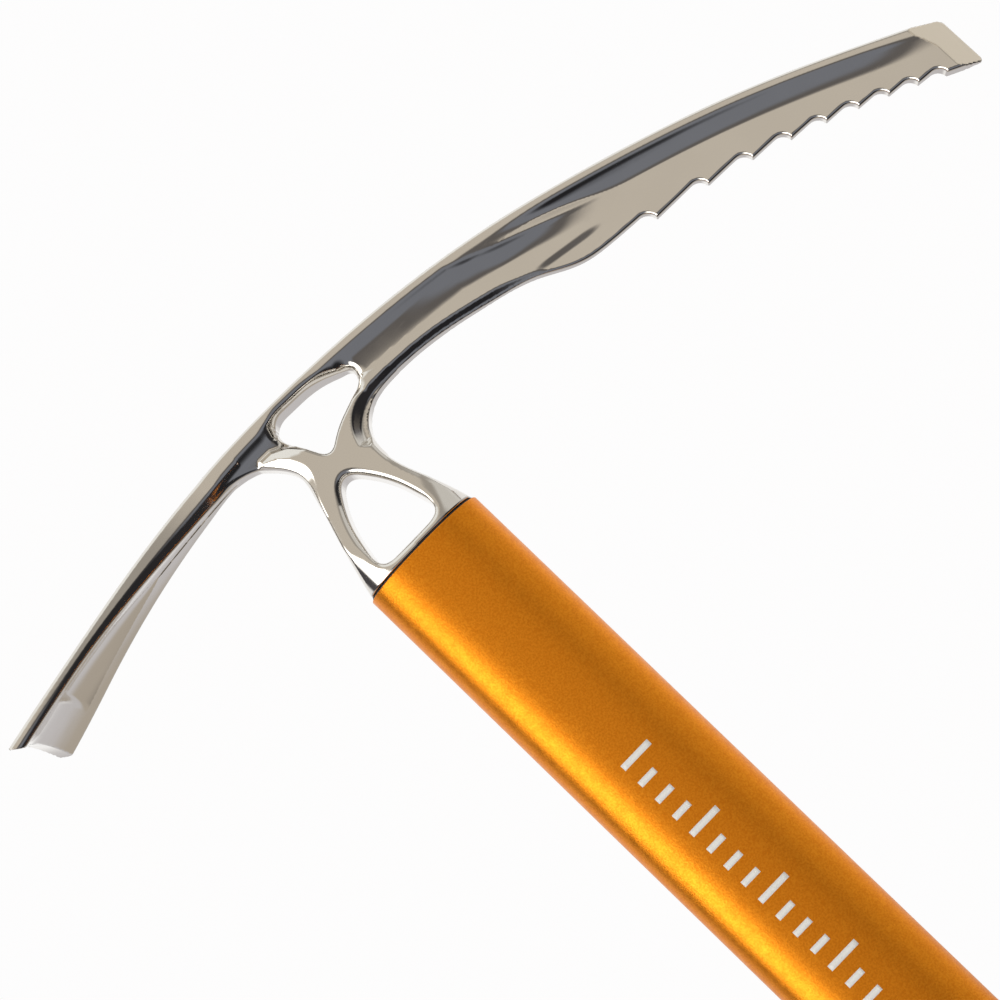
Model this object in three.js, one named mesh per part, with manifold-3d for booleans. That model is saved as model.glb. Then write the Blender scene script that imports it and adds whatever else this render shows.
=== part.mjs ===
// Mountaineering ice axe: a cast steel head and a steel spike, both bonded and
// pinned into an oval aluminium shaft.
//
// Frame, in millimetres: +Z runs up the shaft towards the head, +X towards the
// pick, and the axe is symmetrical about the plane Y = 0. The origin is on the
// shaft's axis, at the lower rim of the head's collar.

import * as THREE from 'three';
import { mergeVertices } from 'three/addons/utils/BufferGeometryUtils.js';
import Module from 'manifold-3d';

const wasm = await Module();
wasm.setup();

// ---- Driving dimensions ----------------------------------------------------

const overallLength = 600;   // top of the head to the point of the spike
const shaftWide = 32;        // shaft section along X
const shaftDeep = 21;        // shaft section along Y
const shaftWall = 1.7;
const ovalPower = 2.3;       // 2 is an ellipse, more is squarer
const fitGap = 0.3;          // clearance between pieces that touch
const sealThick = 0.6;       // black ring seen between steel and aluminium
const bondThick = 1.0;       // cured adhesive between a tang and the shaft

const headTop = 45.4;        // highest point of the spine over the shaft's axis
const pickEndX = 161.8;      // square-cut end of the pick
const adzeEndX = -91.2;      // cutting edge of the adze
const adzeWide = 50;         // along the cutting edge
const bladeThick = 4;        // toothed web of the pick
const spineWide = 12;        // flange along the top of the head
const spineDeep = 2.8;
const neckThick = 11.6;      // web with the two windows
const headTangLength = 55;

const spikeLength = 84;      // below the shaft
const spikeTangLength = 45;
const cheekThick = 8;        // flat cheeks either side of the spike's eye
const spikeTip = 0.7;        // half the blunted point
const eyeWide = 12.4;        // carabiner eye
const eyeTall = 18;
const eyeDrop = 30;          // centre of the eye below the spike's rim
const pinRadius = 2.5;
const pinInset = 0.1;        // pin ends below the shaft's surface

// ---- Places worked out from them -------------------------------------------

const collarRim = 0;
const sealTop = collarRim - fitGap;
const shaftTop = sealTop - sealThick - fitGap;
const spikePoint = headTop - overallLength;
const spikeRim = spikePoint + spikeLength;
const shaftBottom = spikeRim + fitGap + sealThick + fitGap;
const boreWide = shaftWide - 2 * shaftWall;
const boreDeep = shaftDeep - 2 * shaftWall;
const bondWide = boreWide - 2 * fitGap;
const bondDeep = boreDeep - 2 * fitGap;
const tangWide = bondWide - 2 * bondThick - 2 * fitGap;
const tangDeep = bondDeep - 2 * bondThick - 2 * fitGap;
const headPinZ = shaftTop - 28;
const spikePinZ = shaftBottom + 22;
const steelRim = 0.3;        // the steel stands this far inside the shaft's outline

// ---- Solids and booleans ---------------------------------------------------

function solidOf(geometry) {
  const bare = geometry.clone();
  bare.deleteAttribute('normal');
  bare.deleteAttribute('uv');
  const merged = mergeVertices(bare, 1e-5);
  return new wasm.Manifold(new wasm.Mesh({
    numProp: 3,
    vertProperties: new Float32Array(merged.attributes.position.array),
    triVerts: new Uint32Array(merged.index.array),
  }));
}

function geometryOf(solid) {
  const mesh = solid.getMesh();
  const geometry = new THREE.BufferGeometry();
  geometry.setAttribute('position', new THREE.BufferAttribute(mesh.vertProperties, 3));
  geometry.setIndex(new THREE.BufferAttribute(mesh.triVerts, 1));
  geometry.computeVertexNormals();
  return geometry;
}

// A closed outline through the given [across, up] pairs.
function shapeOf(pairs) {
  return new THREE.Shape(pairs.map(([across, up]) => new THREE.Vector2(across, up)));
}

// The given side of an outline, then its mirror image back to the start.
function mirrored(side) {
  return shapeOf([...side, ...side.map(([across, up]) => [-across, up]).reverse()]);
}

function extrusion(shape, depth, curveSegments) {
  return new THREE.ExtrudeGeometry(shape, { depth, bevelEnabled: false, curveSegments });
}

// A prism of an outline drawn in X and Z, centred on Y = 0.
function sidePrism(shape, thick, curveSegments = 12) {
  const geometry = extrusion(shape, thick, curveSegments);
  geometry.rotateX(Math.PI / 2);
  geometry.translate(0, thick / 2, 0);
  return solidOf(geometry);
}

// A prism of an outline drawn in X and Y, between two heights.
function planPrism(shape, bottom, top, curveSegments = 12) {
  const geometry = extrusion(shape, top - bottom, curveSegments);
  geometry.translate(0, 0, bottom);
  return solidOf(geometry);
}

// A prism of an outline drawn in Y and Z, centred on X = 0.
function frontPrism(shape, wide) {
  const geometry = extrusion(shape, wide);
  geometry.applyMatrix4(new THREE.Matrix4().makeBasis(
    new THREE.Vector3(0, 1, 0), new THREE.Vector3(0, 0, 1), new THREE.Vector3(1, 0, 0)));
  geometry.translate(-wide / 2, 0, 0);
  return solidOf(geometry);
}

// The oval of the shaft family: a superellipse of the given size, standing up.
function ovalPrism(wide, deep, bottom, top, count = 56) {
  const round = (value) => Math.sign(value) * Math.abs(value) ** (2 / ovalPower);
  const oval = Array.from({ length: count }, (_, i) => {
    const turn = (2 * Math.PI * i) / count;
    return [(wide / 2) * round(Math.cos(turn)), (deep / 2) * round(Math.sin(turn))];
  });
  return planPrism(shapeOf(oval), bottom, top);
}

// A round bore through the whole axe, along X or Y.
function crossBore(z, along) {
  const radius = pinRadius + fitGap;
  const geometry = new THREE.CylinderGeometry(radius, radius, 2 * shaftWide, 24);
  if (along === 'x') geometry.rotateZ(Math.PI / 2);
  geometry.translate(0, 0, z);
  return solidOf(geometry);
}

// ---- Outlines of the head --------------------------------------------------

// Pairs along a smooth curve through the given pairs.
function smooth(pairs, steps) {
  const curve = new THREE.SplineCurve(pairs.map(([x, z]) => new THREE.Vector2(x, z)));
  return curve.getSpacedPoints(steps).map((point) => [point.x, point.y]);
}

// The ridge line of the head, from the adze's edge to the end of the pick.
const ridge = smooth([
  [adzeEndX, 30.2], [-72, 34.9], [-50, 40.4], [-27, 44.5], [0, headTop], [30, 43.1],
  [62, 37.5], [90, 29.5], [120, 18.6], [pickEndX, -1.4],
], 64);

function ridgeBetween(fromX, toX) {
  return ridge.filter(([x]) => x >= fromX && x <= toX);
}

function ridgeHeight(x) {
  const next = ridge.findIndex((pair) => pair[0] > x);
  const [[x0, z0], [x1, z1]] = [ridge[next - 1], ridge[next]];
  return z0 + ((z1 - z0) * (x - x0)) / (x1 - x0);
}

// Teeth that get finer towards the tip. Each cusp hooks back at the shaft.
const toothCount = 9;
const firstCuspX = 87.6;
const firstScallop = 2.9;

function cuspHeight(x) {
  const along = x - firstCuspX;
  return 14 - 0.2 * along - 0.00235 * along ** 2;
}

const cusps = [];
for (let i = 0, x = firstCuspX; i < toothCount; i += 1) {
  cusps.push([x, cuspHeight(x)]);
  x += 5.2 + 7.9 * 0.7 ** i;
}

// The waist's outer edges: in front from the rim down, behind from the collar up.
const frontEdge = smooth([
  [24, 31.4], [15, 30.2], [10.2, 26.2], [9.2, 20], [11.6, 11], [shaftWide / 2 - steelRim, 0],
], 20);
const backEdge = smooth([
  [-shaftWide / 2 + steelRim, 0], [-12.3, 10.5], [-8.6, 22.5], [-7.1, 30], [-11, 36.6], [-20, 39.7],
], 20);

// From the tip back along the teeth, the belly and the rim as far as the neck.
function pickUnderside(shape) {
  for (let i = toothCount - 1; i >= 0; i -= 1) {
    const [x, z] = cusps[i];
    const scallop = i > 0 ? 0.88 * (cusps[i - 1][1] - z) : firstScallop;
    shape.lineTo(x, z);
    shape.absarc(x - scallop, z, scallop, 0, Math.PI / 2, false);
  }
  const belly = smooth([
    [firstCuspX - firstScallop, 17], [76, 18], [68, 19.8], [60, 23.4], [50, 26.9],
    [38, 29.8], frontEdge[0],
  ], 20);
  belly.forEach(([x, z]) => shape.lineTo(x, z));
}

// A hole with its corners rounded off, each over its own length.
function roundedHole(corners, rounding) {
  const hole = new THREE.Path();
  const points = corners.map(([x, z]) => new THREE.Vector2(x, z));
  points.forEach((corner, i) => {
    const towards = (other) => other.clone().sub(corner).setLength(rounding[i]).add(corner);
    const enter = towards(points[(i + points.length - 1) % points.length]);
    const leave = towards(points[(i + 1) % points.length]);
    if (i === 0) hole.moveTo(enter.x, enter.y);
    else hole.lineTo(enter.x, enter.y);
    hole.quadraticCurveTo(corner.x, corner.y, leave.x, leave.y);
  });
  hole.closePath();
  return hole;
}

const upperWindow = roundedHole(
  [[0.7, 27.6], [-6.6, 43.2], [18.6, 40.9], [16.6, 35.2], [6.6, 31.8]],
  [3, 4.4, 3.6, 2, 3],
);
const lowerWindow = roundedHole(
  [[-0.3, 25.2], [-6.7, 16.5], [-10, 1.8], [9.9, 1.8], [6.4, 16]],
  [5, 4, 6, 6, 4],
);

// ---- Head ------------------------------------------------------------------

function pickBlade() {
  const root = 20;
  const outline = new THREE.Shape();
  outline.moveTo(root, 33);
  ridgeBetween(root, pickEndX).forEach(([x, z]) => outline.lineTo(x, z - spineDeep / 2));
  outline.lineTo(pickEndX, -13);
  outline.lineTo(pickEndX - 1.2, -14);
  pickUnderside(outline);
  return sidePrism(outline, bladeThick, 4);
}

// The flange along the ridge, narrowing towards the tip of the pick.
function spineFlange() {
  const top = ridgeBetween(-24, pickEndX);
  const outline = shapeOf([...top, ...top.map(([x, z]) => [x, z - spineDeep]).reverse()]);
  const geometry = extrusion(outline, spineWide);
  geometry.rotateX(Math.PI / 2);
  geometry.translate(0, spineWide / 2, 0);
  const tipShare = 0.55;
  const place = geometry.attributes.position;
  for (let i = 0; i < place.count; i += 1) {
    const along = Math.max(0, place.getX(i)) / pickEndX;
    place.setY(i, place.getY(i) * (1 - (1 - tipShare) * along));
  }
  return solidOf(geometry);
}

function neckPlate() {
  const [frontX, backX] = [frontEdge[0][0], backEdge.at(-1)[0]];
  const outline = shapeOf([
    ...frontEdge.slice().reverse(),
    [frontX, ridgeHeight(frontX) - 1], [0, headTop - 1], [backX, ridgeHeight(backX) - 1],
    ...backEdge.slice().reverse(),
  ]);
  outline.holes.push(upperWindow, lowerWindow);
  return sidePrism(outline, shaftDeep, 6);
}

// Seen from in front, the neck swells from its flat cheeks out to the collar,
// and the foot of it keeps inside the shaft's oval.
function neck() {
  const collar = shaftDeep / 2 - steelRim;
  const flat = neckThick / 2;
  const swell = mirrored([
    [collar, 0], [collar - 0.6, 4], [flat + 2.2, 10], [flat + 0.8, 15], [flat, 20], [flat, headTop],
  ]);
  const plate = neckPlate().intersect(frontPrism(swell, 2 * shaftWide));
  const footTop = 13;
  const foot = ovalPrism(shaftWide - 2 * steelRim, shaftDeep - 2 * steelRim, 0, footTop);
  const above = mirrored([[2 * shaftWide, footTop], [2 * shaftWide, headTop]]);
  return plate.intersect(foot).add(plate.intersect(sidePrism(above, shaftDeep)));
}

// Half the adze's width at a distance along X: narrow at the neck, flared at the edge.
function adzeHalfWidth(x) {
  const along = THREE.MathUtils.clamp((x + 24) / (adzeEndX + 24), 0, 1);
  const flare = THREE.MathUtils.smoothstep(along, 0, 1);
  return (spineWide + (adzeWide - spineWide) * (0.45 * along + 0.55 * flare)) / 2;
}

function adzeThickness(x) {
  return 3.1 + 2.6 * THREE.MathUtils.smoothstep(x, -72, -24);
}

// The hollow cast into the adze's underside, a wedge that widens to the edge.
function adzePocket() {
  const roofThick = 1.7;
  const roof = ridgeBetween(-82, -42).map(([x, z]) => [x, z - roofThick]);
  const floor = 20;
  return planPrism(shapeOf([[-45, 0], [-79, -17], [-79, 17]]), floor, headTop)
    .intersect(sidePrism(shapeOf([...roof, [-42, floor], [-82, floor]]), adzeWide));
}

// The edge is ground on the underside only, so the top runs out to a sharp lip.
function adze() {
  const root = -12;
  const grind = 3.2;
  const top = ridgeBetween(adzeEndX, root - 2);
  const side = shapeOf([
    [root, 38], [root, ridgeHeight(root)], ...top.slice().reverse(),
    ...top.filter(([x]) => x > adzeEndX + grind).map(([x, z]) => [x, z - adzeThickness(x)]),
  ]);
  const edge = top.map(([x]) => [x, adzeHalfWidth(x)]);
  const plan = shapeOf([
    ...edge, [root, spineWide / 2], [root, -spineWide / 2],
    ...edge.map(([x, y]) => [x, -y]).reverse(),
  ]);
  return sidePrism(side, 2 * adzeWide)
    .intersect(planPrism(plan, 0, headTop + 2))
    .subtract(adzePocket());
}

function headTang() {
  return ovalPrism(tangWide, tangDeep, -headTangLength, 1).subtract(crossBore(headPinZ, 'x'));
}

function head() {
  return headTang().add(neck()).add(pickBlade()).add(spineFlange()).add(adze());
}

// ---- Shaft, bonds, seals and pins ------------------------------------------

function shaftTube() {
  return ovalPrism(shaftWide, shaftDeep, shaftBottom, shaftTop)
    .subtract(ovalPrism(boreWide, boreDeep, shaftBottom - 1, shaftTop + 1))
    .subtract(crossBore(headPinZ, 'x'))
    .subtract(crossBore(spikePinZ, 'y'));
}

// The space that a tang passes through, with its clearance.
function tangPassage(bottom, top) {
  return ovalPrism(tangWide + 2 * fitGap, tangDeep + 2 * fitGap, bottom - 1, top + 1);
}

function bondSleeve(bottom, top, pinZ, pinAlong) {
  return ovalPrism(bondWide, bondDeep, bottom, top)
    .subtract(tangPassage(bottom, top))
    .subtract(crossBore(pinZ, pinAlong));
}

function seal(bottom) {
  const top = bottom + sealThick;
  return ovalPrism(shaftWide - 2 * steelRim, shaftDeep - 2 * steelRim, bottom, top)
    .subtract(tangPassage(bottom, top));
}

// A solid pin with softly domed ends, flush with the shaft.
function crossPin(length) {
  const dome = 0.4;
  const half = length / 2;
  const profile = [
    [0, -half], [pinRadius * 0.7, -half + dome * 0.3], [pinRadius, -half + dome],
    [pinRadius, half - dome], [pinRadius * 0.7, half - dome * 0.3], [0, half],
  ];
  return solidOf(new THREE.LatheGeometry(profile.map(([r, y]) => new THREE.Vector2(r, y)), 24));
}

// ---- Spike -----------------------------------------------------------------

// A leaf seen from the side, with the carabiner eye through its flat cheeks.
function spikeLeaf() {
  const half = shaftWide / 2 - steelRim;
  const leaf = mirrored(smooth([
    [half, spikeRim], [half - 1.2, spikeRim - 9], [half - 4.2, spikeRim - 26],
    [half - 6.6, spikeRim - 46], [half - 11.2, spikeRim - 70], [spikeTip, spikePoint],
  ], 24));
  const eye = new THREE.Path();
  eye.absellipse(0, spikeRim - eyeDrop, eyeWide / 2, eyeTall / 2, 0, 2 * Math.PI, false);
  leaf.holes.push(eye);
  return sidePrism(leaf, 2 * shaftDeep, 16);
}

function spike() {
  const rim = shaftDeep / 2 - steelRim;
  const cheek = cheekThick / 2;
  const front = mirrored([
    [rim, spikeRim], [rim - 0.8, spikeRim - 4], [cheek + 1.6, spikeRim - 11],
    [cheek, spikeRim - 17], [cheek, spikeRim - 56], [spikeTip, spikePoint],
  ]);
  const oval = ovalPrism(shaftWide - 2 * steelRim, shaftDeep - 2 * steelRim, spikePoint, spikeRim);
  const tang = ovalPrism(tangWide, tangDeep, spikeRim - 1, spikeRim + spikeTangLength)
    .subtract(crossBore(spikePinZ, 'y'));
  return spikeLeaf().intersect(frontPrism(front, 2 * shaftWide)).intersect(oval).add(tang);
}

// ---- Assembly --------------------------------------------------------------

const steel = { color: 0xbdb4a6, roughness: 0.12, metalness: 1 };
const anodised = { color: 0xd9821a, roughness: 0.38, metalness: 1 };
const rubber = { color: 0x15130f, roughness: 0.7, metalness: 0 };
const epoxy = { color: 0x3a3d3a, roughness: 0.5, metalness: 0 };
const pinSteel = { color: 0x9a9690, roughness: 0.3, metalness: 1 };

const axe = new THREE.Group();

function place(name, solid, finish) {
  const mesh = new THREE.Mesh(geometryOf(solid), new THREE.MeshStandardMaterial(finish));
  mesh.name = name;
  axe.add(mesh);
  return mesh;
}

place('head', head(), steel);
place('head_joint_seal', seal(sealTop - sealThick), rubber);
place('head_bond_sleeve', bondSleeve(-headTangLength, shaftTop - 1, headPinZ, 'x'), epoxy);
place('shaft_tube', shaftTube(), anodised);
place('spike_bond_sleeve',
  bondSleeve(shaftBottom + 1, spikeRim + spikeTangLength, spikePinZ, 'y'), epoxy);
place('spike_joint_seal', seal(spikeRim + fitGap), rubber);
place('spike', spike(), steel);

const headPin = place('head_cross_pin', crossPin(shaftWide - 2 * pinInset), pinSteel);
headPin.rotation.z = Math.PI / 2;
headPin.position.z = headPinZ;

const spikePin = place('spike_cross_pin', crossPin(shaftDeep - 2 * pinInset), pinSteel);
spikePin.position.z = spikePinZ;

export default axe;
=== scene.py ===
"""Ice axe: the finished surfaces, materials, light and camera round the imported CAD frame.

The head and the spike are castings, so each is modelled as one smooth solid field: a
function that is negative inside the metal. A surface-nets mesh is drawn over the field
and every vertex is then slid on to the surface and given the field's own normal, so that
the polish reflects cleanly. The field works in millimetres, Blender in metres.
"""

import math

import bpy
import numpy as np
from mathutils import Matrix, Vector


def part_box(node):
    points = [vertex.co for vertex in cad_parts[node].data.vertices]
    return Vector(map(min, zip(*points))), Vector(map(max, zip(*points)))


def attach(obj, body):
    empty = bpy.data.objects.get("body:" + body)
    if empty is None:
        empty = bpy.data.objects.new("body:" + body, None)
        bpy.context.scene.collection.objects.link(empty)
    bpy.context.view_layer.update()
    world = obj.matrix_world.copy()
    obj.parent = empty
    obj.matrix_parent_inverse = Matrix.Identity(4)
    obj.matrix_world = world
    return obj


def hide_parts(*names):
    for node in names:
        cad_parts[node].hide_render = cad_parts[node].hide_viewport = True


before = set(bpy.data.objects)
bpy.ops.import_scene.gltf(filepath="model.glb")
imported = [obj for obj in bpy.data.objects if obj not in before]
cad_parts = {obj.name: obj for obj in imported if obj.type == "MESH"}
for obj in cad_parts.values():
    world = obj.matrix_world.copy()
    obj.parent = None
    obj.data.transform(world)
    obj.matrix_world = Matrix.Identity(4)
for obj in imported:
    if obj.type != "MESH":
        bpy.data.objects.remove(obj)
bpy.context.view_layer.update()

MM = 0.001


def box_mm(node):
    """A CAD node's lowest and highest corners, in millimetres."""
    low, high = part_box(node)
    return np.array(low) / MM, np.array(high) / MM


HEAD_LOW, HEAD_HIGH = box_mm("head")
SHAFT_LOW, SHAFT_HIGH = box_mm("shaft_tube")
SPIKE_LOW, SPIKE_HIGH = box_mm("spike")
SEAL_LOW, SEAL_HIGH = box_mm("head_joint_seal")
FOOT_SEAL_LOW = box_mm("spike_joint_seal")[0]
HEAD_PIN_LOW, HEAD_PIN_HIGH = box_mm("head_cross_pin")
SPIKE_PIN_LOW, SPIKE_PIN_HIGH = box_mm("spike_cross_pin")

# Half sizes of the shaft's oval, and of the steel collars that meet it.
OVAL_X = (SHAFT_HIGH[0] - SHAFT_LOW[0]) / 2
OVAL_Y = (SHAFT_HIGH[1] - SHAFT_LOW[1]) / 2
OVAL_POWER = 2.3
COLLAR_INSET = 0.3
COLLAR_X = OVAL_X - COLLAR_INSET
COLLAR_Y = OVAL_Y - COLLAR_INSET

PICK_END = HEAD_HIGH[0]
ADZE_END = HEAD_LOW[0]
ADZE_HALF = HEAD_HIGH[1]
HEAD_TOP = HEAD_HIGH[2]
HEAD_FOOT = -15.0  # just below the pick's tip, the lowest part of the cast surface
SPIKE_RIM = FOOT_SEAL_LOW[2] - (SEAL_LOW[2] - SHAFT_HIGH[2])
SPIKE_POINT = SPIKE_LOW[2]


# ---- Smooth solid fields ---------------------------------------------------------------

def ramp(value, start, end):
    """0 up to start, 1 from end, smooth between them."""
    share = np.clip((value - start) / (end - start), 0.0, 1.0)
    return share * share * (3.0 - 2.0 * share)


def overlap(a, b, rounding):
    """What lies inside both fields, with their shared edge rounded off."""
    ra, rb = a + rounding, b + rounding
    corner = np.hypot(np.maximum(ra, 0.0), np.maximum(rb, 0.0))
    return np.minimum(np.maximum(ra, rb), 0.0) + corner - rounding


def union(a, b, fillet):
    """What lies inside either field, with a fillet where they meet."""
    return -overlap(-a, -b, fillet)


class Spline:
    """A natural cubic spline: height as a smooth function of distance along."""

    def __init__(self, points):
        self.x, self.y = np.array(points, float).T
        n = len(self.x)
        step = np.diff(self.x)
        system = np.eye(n)
        right = np.zeros(n)
        for i in range(1, n - 1):
            system[i, i - 1] = step[i - 1]
            system[i, i] = 2.0 * (step[i - 1] + step[i])
            system[i, i + 1] = step[i]
            right[i] = 6.0 * ((self.y[i + 1] - self.y[i]) / step[i]
                              - (self.y[i] - self.y[i - 1]) / step[i - 1])
        self.bend = np.linalg.solve(system, right)

    def __call__(self, x):
        x = np.clip(x, self.x[0], self.x[-1])
        i = np.clip(np.searchsorted(self.x, x) - 1, 0, len(self.x) - 2)
        step = self.x[i + 1] - self.x[i]
        a = (self.x[i + 1] - x) / step
        b = 1.0 - a
        bow = (a**3 - a) * self.bend[i] + (b**3 - b) * self.bend[i + 1]
        return a * self.y[i] + b * self.y[i + 1] + bow * step**2 / 6.0


def smooth_path(points, spacing=0.4):
    """Points along a smooth curve through the given ones, parameterised by chord length."""
    points = np.array(points, float)
    chord = np.concatenate([[0.0], np.cumsum(np.hypot(*np.diff(points, axis=0).T))])
    along = np.linspace(0.0, chord[-1], max(3, int(chord[-1] / spacing)))
    across = [Spline(np.column_stack([chord, points[:, k]]))(along) for k in (0, 1)]
    return np.column_stack(across)


def arc(centre, radius, start_deg, end_deg, steps=10):
    turn = np.radians(np.linspace(start_deg, end_deg, steps))
    return np.column_stack([centre[0] + radius * np.cos(turn), centre[1] + radius * np.sin(turn)])


def rounded_polygon(corners, rounding, steps=12):
    """A closed outline whose corners are rounded over their own lengths."""
    corners = np.array(corners, float)
    pieces = []
    for i, corner in enumerate(corners):
        ends = []
        for other in (corners[i - 1], corners[(i + 1) % len(corners)]):
            ends.append(corner + (other - corner) * rounding[i] / np.linalg.norm(other - corner))
        t = np.linspace(0.0, 1.0, steps)[:, None]
        pieces.append((1 - t) ** 2 * ends[0] + 2 * t * (1 - t) * corner + t**2 * ends[1])
    return np.vstack(pieces)


def signed_distance(outline, x, z):
    """Distance from points to a closed outline, negative inside it."""
    a = outline
    edge = np.roll(outline, -1, axis=0) - a
    keep = np.hypot(*edge.T) > 1e-9
    a, edge = a[keep], edge[keep]
    b_z = a[:, 1] + edge[:, 1]
    length2 = (edge**2).sum(1)
    flat_x, flat_z = x.ravel(), z.ravel()
    result = np.empty(flat_x.size)
    chunk = 4000  # points at a time, to spare memory
    for i in range(0, flat_x.size, chunk):
        px = flat_x[i:i + chunk, None]
        pz = flat_z[i:i + chunk, None]
        dx, dz = px - a[:, 0], pz - a[:, 1]
        t = np.clip((dx * edge[:, 0] + dz * edge[:, 1]) / length2, 0.0, 1.0)
        near = ((dx - t * edge[:, 0]) ** 2 + (dz - t * edge[:, 1]) ** 2).min(1)
        crosses = (a[:, 1] > pz) != (b_z > pz)
        with np.errstate(divide="ignore", invalid="ignore"):
            at = a[:, 0] + dz * edge[:, 0] / edge[:, 1]
        inside = (crosses & (px < at)).sum(1) % 2 == 1
        result[i:i + chunk] = np.sqrt(near) * np.where(inside, -1.0, 1.0)
    return result.reshape(x.shape)


class OutlineField:
    """A closed outline's signed distance, tabled once and read back by cubic interpolation."""

    STEP = 0.25

    def __init__(self, outline, margin=6.0):
        self.low = outline.min(0) - margin
        counts = np.ceil((outline.max(0) + margin - self.low) / self.STEP).astype(int) + 1
        self.counts = counts
        x, z = np.meshgrid(*(self.low[k] + self.STEP * np.arange(counts[k]) for k in (0, 1)),
                           indexing="ij")
        self.table = signed_distance(outline, x, z)

    @staticmethod
    def weights(t):
        """Catmull-Rom weights of the four samples round a point."""
        return (0.5 * (-t + 2 * t**2 - t**3), 0.5 * (2 - 5 * t**2 + 3 * t**3),
                0.5 * (t + 4 * t**2 - 3 * t**3), 0.5 * (-t**2 + t**3))

    def __call__(self, x, z):
        place, share = [], []
        for k, value in enumerate((x, z)):
            at = np.clip((value - self.low[k]) / self.STEP, 1.0, self.counts[k] - 2.001)
            whole = np.floor(at).astype(int)
            place.append(whole)
            share.append(self.weights(at - whole))
        total = 0.0
        for i in range(4):
            row = sum(share[1][j] * self.table[place[0] + i - 1, place[1] + j - 1] for j in range(4))
            total = total + share[0][i] * row
        return total


# ---- Outlines of the head, seen from the side ------------------------------------------

RIDGE = Spline([
    (ADZE_END, 30.2), (-72, 34.9), (-50, 40.4), (-27, 44.5), (0, HEAD_TOP), (30, 43.5),
    (62, 38.1), (90, 30.2), (120, 19.3), (PICK_END, -1.0),
])
ARCH = [(38, 29.8), (24, 31.4), (15, 30.2), (10.2, 26.2), (9.2, 20)]
BACK = [(-8.6, 22.5), (-7.1, 30), (-11, 36.6), (-20, 39.7), (-30, 39.2)]
TOOTH_COUNT = 9
FIRST_CUSP_X = 87.6
FIRST_CUSP_Z = 13.6
FIRST_SCALLOP = 2.9
TOOTH_LINE_SLOPE = 0.2
TOOTH_LINE_BEND = 0.0024
LAST_PITCH = 5.2
EXTRA_PITCH = 7.9
PITCH_RATIO = 0.7
TIP_ROUNDING = 1.0
TIP_FOOT = -12.9


def ridge_slope(x):
    return RIDGE(x + 0.5) - RIDGE(x - 0.5)


def tooth_cusps():
    """Cusp points from the neck to the tip: the teeth get finer on the way."""
    x, cusps = FIRST_CUSP_X, []
    for i in range(TOOTH_COUNT):
        along = x - FIRST_CUSP_X
        cusps.append((x, FIRST_CUSP_Z - TOOTH_LINE_SLOPE * along - TOOTH_LINE_BEND * along**2))
        x += LAST_PITCH + EXTRA_PITCH * PITCH_RATIO**i
    return cusps


def plate_outline():
    """The head without its legs: ridge, square-cut tip, teeth, belly, arch and back."""
    top_x = np.arange(-30.0, PICK_END, 0.8)
    top = np.column_stack([top_x, RIDGE(top_x)])
    corner_x = PICK_END - TIP_ROUNDING
    end_top = arc((corner_x, RIDGE(PICK_END) - TIP_ROUNDING), TIP_ROUNDING, 60, 0)
    end_foot = arc((corner_x, TIP_FOOT), TIP_ROUNDING, 0, -70)
    cusps = tooth_cusps()
    teeth = []
    for i in range(TOOTH_COUNT - 1, -1, -1):
        x, z = cusps[i]
        scallop = 0.88 * (cusps[i - 1][1] - z) if i else FIRST_SCALLOP
        teeth.append(arc((x - scallop, z), scallop, 0, 90))
    belly = smooth_path([
        (FIRST_CUSP_X - FIRST_SCALLOP, FIRST_CUSP_Z + FIRST_SCALLOP), (77, 17.2), (70, 18.5),
        (65, 20.8), (60, 23.6), (50, 26.9), *ARCH,
    ])
    back = smooth_path([(-8.9, 20), *BACK])
    return np.vstack([top, end_top, end_foot, *teeth, belly, back])


def neck_outline():
    """The thick middle of the head: two legs, their crossing and the frame of the window."""
    front = smooth_path([*ARCH[1:], (11.8, 10.5), (COLLAR_X, 0)])
    back = smooth_path([(-COLLAR_X, 0), (-12.4, 10.5), *BACK[:3]])
    over = [(-11.6, 37.6), (-10.9, 38.4), (-8.0, 38.3), (-6.0, 37.2), (-3.5, 36), (17, 36.6),
            (24, 34.8)]
    return np.vstack([front, back, over])


UPPER_WINDOW = rounded_polygon(
    [(0.6, 27.8), (-5.0, 39.3), (-3.0, 42.9), (9.0, 42.4), (18.0, 38.6), (16.0, 34.9), (6.2, 31.4)],
    (3, 2.6, 3.2, 4, 2.4, 1.6, 3))
LOWER_WINDOW = rounded_polygon(
    [(-0.9, 24.8), (-7.0, 15.6), (-9.7, 1.9), (9.6, 1.9), (5.8, 15.6)], (5.4, 5, 4.8, 5.2, 5))


# ---- The head's field ------------------------------------------------------------------

# Half thicknesses, and the shape of the flange that runs along the ridge.
NECK_HALF = 5.8
FOOT_TOP = 19.0
FOOT_POWER = 1.15
SPINE_HALF = 6.4
TIP_SPINE_HALF = 3.6
SPINE_TAPER_START = 20.0
SPINE_TAPER_POWER = 1.3
SPINE_DUCK = 0.5
ROOT_WEB_HALF = 3.3
ARM_WEB_HALF = 3.8
BLADE_HALF = 2.0
TIP_BLADE_HALF = 2.8
FLANGE_DEPTH = 2.1
FLANGE_EXTRA = 0.8
FLANGE_EDGE = 0.5
COVE_LENGTH = 6.4
COVE_POWER = 1.5
CREASE_START = 47.0
CREASE_DEPTH = 4.3
CREASE_REACH = 19.0
UPPER_COVE_SHARE = 0.14
UPPER_COVE_LENGTH = 2.0

# The fold in the blade behind the first tooth: where it crosses x = FOLD_X, and its slope.
FOLD_X = 62.0
FOLD_Z = 24.3
FOLD_SLOPE = 0.17
FOLD_RISE = 0.5

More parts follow.
